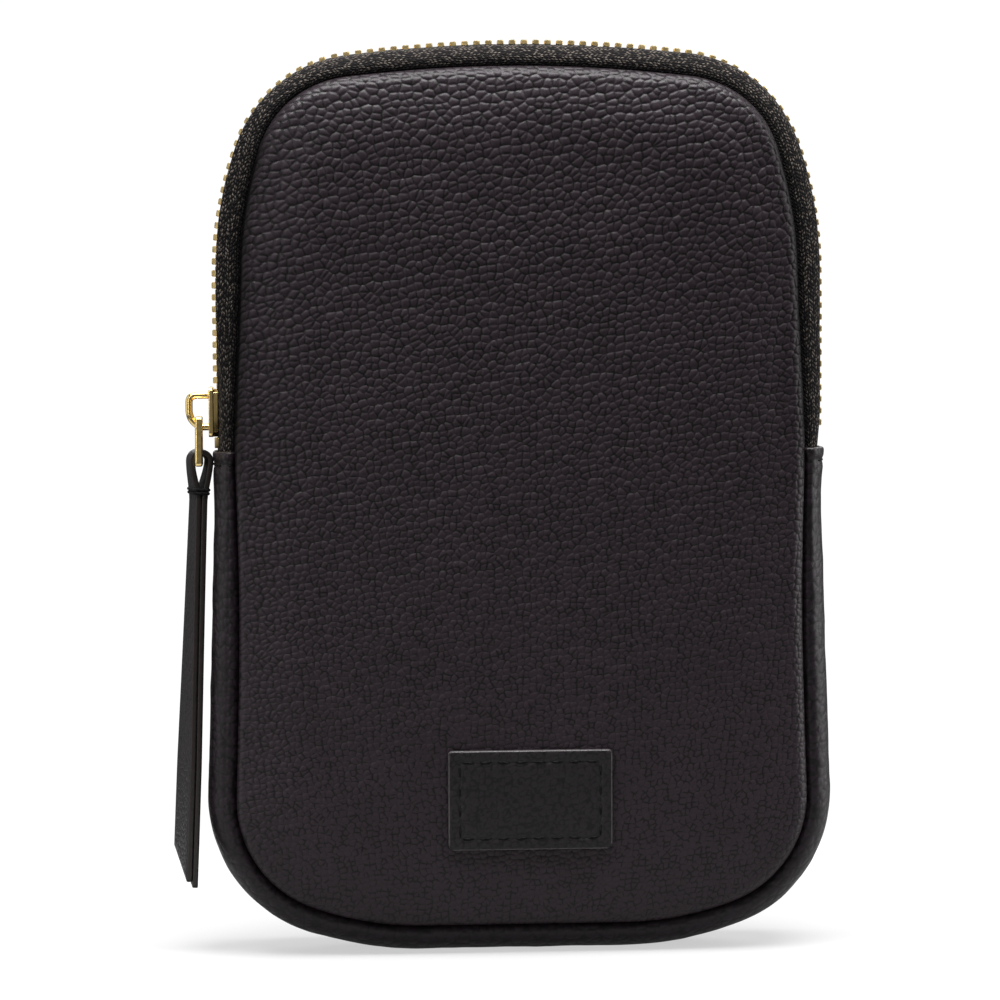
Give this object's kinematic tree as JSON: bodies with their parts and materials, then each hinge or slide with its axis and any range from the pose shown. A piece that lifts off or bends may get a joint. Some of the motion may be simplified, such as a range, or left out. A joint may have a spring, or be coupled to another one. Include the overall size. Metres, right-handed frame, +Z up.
{
  "type": "phone pouch",
  "caption": "Flat upright leather phone pouch with a gusset round its lower half, a metal zip over the top, a slider with a long leather pull at the side and a blank stitched label",
  "frame": {"origin": "middle of the flat base that the pouch stands on", "axes": "X to the right and Y to the back as seen from the front with the label, Z up"},
  "size_m": [0.1289, 0.0294, 0.1798],
  "materials": {
    "pebbled_leather": "black full-grain leather with a milled pebble grain, low sheen",
    "board": "bonded fibre interlining board",
    "lining": "black plain-woven lining cloth",
    "zip_tape": "black herringbone-woven polyester zip tape",
    "zip_metal": "polished light-gold plated brass teeth and stops",
    "slider_metal": "polished light-gold plated die-cast slider and link",
    "tab_leather": "black pebbled leather strip with dark dyed edges",
    "label_leather": "smooth black calf leather",
    "thread": "black bonded polyester thread"
  },
  "bodies": {
    "pouch": {"front_panel_lower": "pebbled_leather", "back_panel": "pebbled_leather", "bottom_gusset": "pebbled_leather", "front_board_lower": "board", "back_board": "board", "front_lining_lower": "lining", "back_lining": "lining", "gusset_lining": "lining", "zip_tape_back": "zip_tape", "zip_teeth_back": "zip_metal", "zip_top_stop_front": "zip_metal", "zip_top_stop_back": "zip_metal", "label_patch": "label_leather", "label_stitching": "thread", "hem_stitching": "thread"},
    "front_flap": {"front_panel_upper": "pebbled_leather", "front_board_upper": "board", "front_lining_upper": "lining", "zip_tape_front": "zip_tape", "zip_teeth_front": "zip_metal"},
    "slider": {"slider_body": "slider_metal", "slider_bridge": "slider_metal"},
    "pull_link": {"pull_link": "slider_metal"},
    "pull_tab": {"pull_tab": "tab_leather", "pull_tab_stitching": "thread"}
  },
  "joints": [
    {"name": "mouth_fold", "type": "hinge", "parent": "pouch", "child": "front_flap", "pos_m": [0, -0.014, 0.0996], "axis": [1, 0, 0], "range_deg": [0, 35], "stiffness_Nm_per_rad": 0.03, "deforming": ["zip_teeth_front"]},
    {"name": "slider_slide", "type": "slide", "parent": "pouch", "child": "slider", "axis": [0, 0, 1], "range_m": [0, 0.022], "deforming": ["zip_teeth_front", "zip_teeth_back"]},
    {"name": "pull_link_swing", "type": "hinge", "parent": "slider", "child": "pull_link", "pos_m": [-0.0632, 0, 0.10535], "axis": [0, 1, 0], "range_deg": [0, 120]},
    {"name": "pull_tab_swing", "type": "hinge", "parent": "pull_link", "child": "pull_tab", "pos_m": [-0.0632, 0, 0.0973], "axis": [0, 1, 0], "range_deg": [0, 55]}
  ]
}
